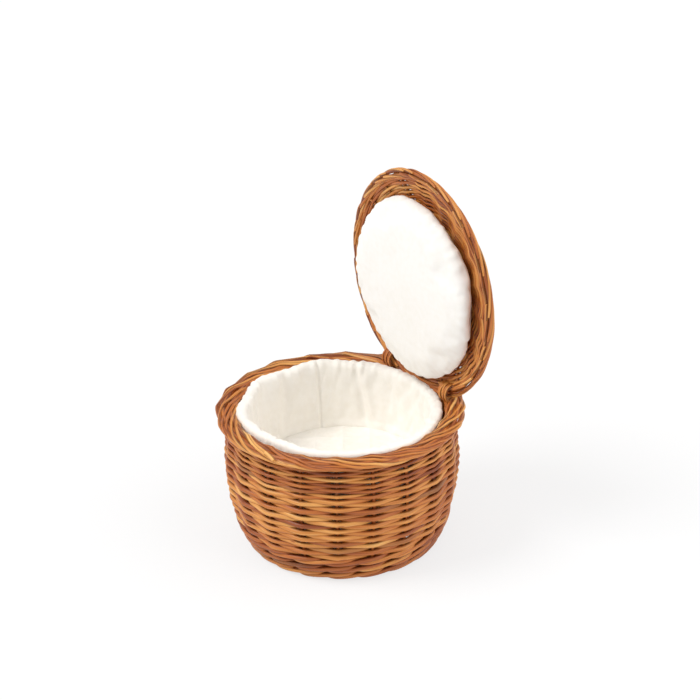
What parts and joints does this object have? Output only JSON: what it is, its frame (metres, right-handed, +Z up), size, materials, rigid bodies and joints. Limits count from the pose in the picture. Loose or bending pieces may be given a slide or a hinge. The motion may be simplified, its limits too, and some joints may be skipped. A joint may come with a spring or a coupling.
{
  "type": "egg basket",
  "caption": "Round woven willow egg basket with a padded linen lining and a domed, padded lid that swings on willow loops.",
  "frame": {"origin": "on the floor, at the middle of the foot wale that the basket stands on", "axes": "+Z up along the basket's axis, +Y from the axis towards the hinge, +X along the hinge line to the right as seen from the front"},
  "size_m": [0.3, 0.3053, 0.446],
  "materials": {
    "willow": "satin",
    "willow_dark": "satin",
    "willow_pale": "satin",
    "linen": "matte",
    "wadding": "matte"
  },
  "bodies": {
    "basket": {"base_sticks": "willow_dark", "base_weave": "willow", "foot_wale": "willow_dark", "stakes": "willow_pale", "side_weave_lower": "willow", "side_weave_middle": "willow", "side_weave_upper": "willow", "rim_border": "willow_dark", "lining_wall": "linen", "lining_floor": "linen", "floor_cushion": "wadding", "hinge_loop_left": "willow_pale", "hinge_loop_right": "willow_pale"},
    "lid": {"lid_border": "willow_dark", "lid_sticks": "willow_pale", "lid_bye_sticks": "willow_pale", "lid_weave_edge": "willow", "lid_weave_outer": "willow", "lid_weave_centre": "willow", "lid_pad": "linen"}
  },
  "joints": [
    {"name": "lid_hinge", "type": "hinge", "parent": "basket", "child": "lid", "pos_m": [0, 0.11907, 0.18047], "axis": [1, 0, 0], "range_deg": [0, 90]}
  ]
}
